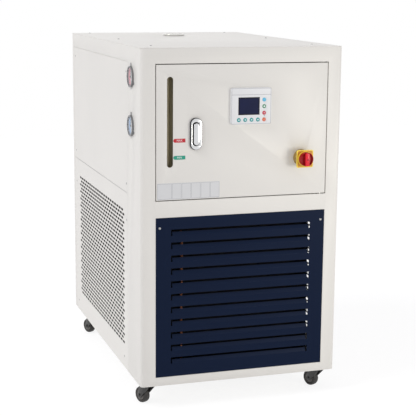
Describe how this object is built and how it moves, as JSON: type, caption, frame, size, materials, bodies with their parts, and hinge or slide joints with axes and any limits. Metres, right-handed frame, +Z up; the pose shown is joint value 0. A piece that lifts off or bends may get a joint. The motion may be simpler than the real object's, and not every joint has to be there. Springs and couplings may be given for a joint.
{
  "type": "heating and cooling circulator",
  "caption": "Floor-standing heating and cooling circulator: sheet metal cabinet on swivel casters with a hinged control door, louvered air intake, side dial gauges and rear hose ports.",
  "frame": {"origin": "on the floor under the middle of the cabinet", "axes": "+X to the right seen from the front, +Y to the rear, +Z up"},
  "size_m": [0.656, 1.1263, 1.1328],
  "materials": {
    "cabinet_paint": "fine satin powder coat",
    "grille_paint": "satin navy powder coat",
    "galvanized": "plain zinc-coated sheet",
    "steel": "bright steel",
    "chrome": "polished",
    "black_plastic": "matte",
    "grey_plastic": "satin",
    "display": "dark glossy",
    "glass": "clear",
    "sight_glass": "amber, oil-filled",
    "yellow_plastic": "glossy",
    "red_plastic": "glossy",
    "key_blue": "satin",
    "key_green": "satin",
    "key_red": "satin",
    "key_orange": "satin",
    "key_teal": "satin",
    "tank_steel": "brushed stainless",
    "aluminium": "bare fins",
    "black_paint": "semi-gloss black",
    "pump_paint": "semi-gloss",
    "brass": "bare",
    "caster_steel": "black",
    "caster_rubber": "matte"
  },
  "bodies": {
    "cabinet": {"cabinet_frame": "cabinet_paint", "base_tray": "galvanized", "top_cover": "cabinet_paint", "equipment_shelf": "galvanized", "sight_tube": "sight_glass", "left_upper_panel": "cabinet_paint", "left_lower_panel": "cabinet_paint", "right_upper_panel": "cabinet_paint", "right_lower_panel": "cabinet_paint", "rear_upper_panel": "cabinet_paint", "rear_lower_panel": "cabinet_paint", "front_grille": "grille_paint", "hinge_pins": "steel", "upper_gauge_case": "steel", "upper_gauge_lens": "glass", "lower_gauge_case": "steel", "lower_gauge_lens": "glass", "filler_neck": "steel", "caster_plates": "caster_steel", "expansion_tank": "tank_steel", "electrical_box": "galvanized", "condenser": "aluminium", "fan_frame": "black_paint", "compressor": "black_paint", "circulation_pump": "pump_paint", "heat_exchanger": "tank_steel", "hose_ports": "brass", "drain_valve": "brass", "cable_gland": "black_plastic"},
    "door": {"front_door": "cabinet_paint", "latch_housing": "chrome", "latch_cam": "galvanized", "controller_case": "grey_plastic", "display_window": "display", "isolator_plate": "yellow_plastic", "isolator_switch": "black_plastic"},
    "latch_lever": {"latch_lever": "chrome"},
    "isolator_knob": {"isolator_knob": "red_plastic"},
    "upper_pointer": {"upper_pointer": "black_plastic"},
    "lower_pointer": {"lower_pointer": "black_plastic"},
    "filler_cap": {"filler_cap": "chrome"},
    "fan_rotor": {"fan_rotor": "black_plastic"},
    "drain_handle": {"drain_handle": "red_plastic"},
    "column_key_1": {"column_key_1": "key_blue"},
    "row_key_1": {"row_key_1": "key_teal"},
    "column_key_2": {"column_key_2": "key_green"},
    "row_key_2": {"row_key_2": "key_teal"},
    "column_key_3": {"column_key_3": "key_red"},
    "row_key_3": {"row_key_3": "key_teal"},
    "column_key_4": {"column_key_4": "key_orange"},
    "row_key_4": {"row_key_4": "key_teal"},
    "front_left_fork": {"front_left_fork": "caster_steel"},
    "front_left_wheel": {"front_left_wheel": "caster_rubber"},
    "front_right_fork": {"front_right_fork": "caster_steel"},
    "front_right_wheel": {"front_right_wheel": "caster_rubber"},
    "rear_left_fork": {"rear_left_fork": "caster_steel"},
    "rear_left_wheel": {"rear_left_wheel": "caster_rubber"},
    "rear_right_fork": {"rear_right_fork": "caster_steel"},
    "rear_right_wheel": {"rear_right_wheel": "caster_rubber"}
  },
  "joints": [
    {"name": "door_hinge", "type": "hinge", "parent": "cabinet", "child": "door", "pos_m": [0.2625, -0.498, 0.87], "axis": [0, 0, 1], "range_deg": [0, 105]},
    {"name": "latch_lift", "type": "hinge", "parent": "door", "child": "latch_lever", "pos_m": [-0.1525, -0.5105, 0.896], "axis": [-1, 0, 0], "range_deg": [0, 35]},
    {"name": "isolator_turn", "type": "hinge", "parent": "door", "child": "isolator_knob", "pos_m": [0.193, -0.545, 0.7815], "axis": [0, -1, 0], "range_deg": [0, 90]},
    {"name": "upper_pointer_turn", "type": "hinge", "parent": "cabinet", "child": "upper_pointer", "pos_m": [-0.3265, -0.393, 1.033], "axis": [1, 0, 0], "range_deg": [-135, 135], "stiffness_Nm_per_rad": 0.0005},
    {"name": "lower_pointer_turn", "type": "hinge", "parent": "cabinet", "child": "lower_pointer", "pos_m": [-0.3265, -0.393, 0.883], "axis": [1, 0, 0], "range_deg": [-135, 135], "stiffness_Nm_per_rad": 0.0005},
    {"name": "filler_cap_turn", "type": "hinge", "parent": "cabinet", "child": "filler_cap", "pos_m": [-0.007, 0.235, 1.13], "axis": [0, 0, 1], "range_deg": [0, 90]},
    {"name": "fan_spin", "type": "hinge", "parent": "cabinet", "child": "fan_rotor", "pos_m": [0, -0.36, 0.323], "axis": [0, 1, 0], "continuous": true},
    {"name": "drain_turn", "type": "hinge", "parent": "cabinet", "child": "drain_handle", "pos_m": [-0.2, 0.531, 0.24], "axis": [0, 0, 1], "range_deg": [0, 90]},
    {"name": "column_key_1_press", "type": "slide", "parent": "door", "child": "column_key_1", "axis": [0, 1, 0], "range_m": [0, 0.0008], "stiffness_N_per_m": 300},
    {"name": "row_key_1_press", "type": "slide", "parent": "door", "child": "row_key_1", "axis": [0, 1, 0], "range_m": [0, 0.0008], "stiffness_N_per_m": 300},
    {"name": "column_key_2_press", "type": "slide", "parent": "door", "child": "column_key_2", "axis": [0, 1, 0], "range_m": [0, 0.0008], "stiffness_N_per_m": 300},
    {"name": "row_key_2_press", "type": "slide", "parent": "door", "child": "row_key_2", "axis": [0, 1, 0], "range_m": [0, 0.0008], "stiffness_N_per_m": 300},
    {"name": "column_key_3_press", "type": "slide", "parent": "door", "child": "column_key_3", "axis": [0, 1, 0], "range_m": [0, 0.0008], "stiffness_N_per_m": 300},
    {"name": "row_key_3_press", "type": "slide", "parent": "door", "child": "row_key_3", "axis": [0, 1, 0], "range_m": [0, 0.0008], "stiffness_N_per_m": 300},
    {"name": "column_key_4_press", "type": "slide", "parent": "door", "child": "column_key_4", "axis": [0, 1, 0], "range_m": [0, 0.0008], "stiffness_N_per_m": 300},
    {"name": "row_key_4_press", "type": "slide", "parent": "door", "child": "row_key_4", "axis": [0, 1, 0], "range_m": [0, 0.0008], "stiffness_N_per_m": 300},
    {"name": "front_left_swivel", "type": "hinge", "parent": "cabinet", "child": "front_left_fork", "pos_m": [-0.29, -0.445, 0.06], "axis": [0, 0, 1], "continuous": true},
    {"name": "front_left_roll", "type": "hinge", "parent": "front_left_fork", "child": "front_left_wheel", "pos_m": [-0.2993, -0.42506, 0.026], "axis": [0.9063, 0.4226, 0], "continuous": true},
    {"name": "front_right_swivel", "type": "hinge", "parent": "cabinet", "child": "front_right_fork", "pos_m": [0.29, -0.445, 0.06], "axis": [0, 0, 1], "continuous": true},
    {"name": "front_right_roll", "type": "hinge", "parent": "front_right_fork", "child": "front_right_wheel", "pos_m": [0.2807, -0.42506, 0.026], "axis": [0.9063, 0.4226, 0], "continuous": true},
    {"name": "rear_left_swivel", "type": "hinge", "parent": "cabinet", "child": "rear_left_fork", "pos_m": [-0.29, 0.35, 0.06], "axis": [0, 0, 1], "continuous": true},
    {"name": "rear_left_roll", "type": "hinge", "parent": "rear_left_fork", "child": "rear_left_wheel", "pos_m": [-0.2993, 0.36994, 0.026], "axis": [0.9063, 0.4226, 0], "continuous": true},
    {"name": "rear_right_swivel", "type": "hinge", "parent": "cabinet", "child": "rear_right_fork", "pos_m": [0.29, 0.35, 0.06], "axis": [0, 0, 1], "continuous": true},
    {"name": "rear_right_roll", "type": "hinge", "parent": "rear_right_fork", "child": "rear_right_wheel", "pos_m": [0.2807, 0.36994, 0.026], "axis": [0.9063, 0.4226, 0], "continuous": true}
  ]
}
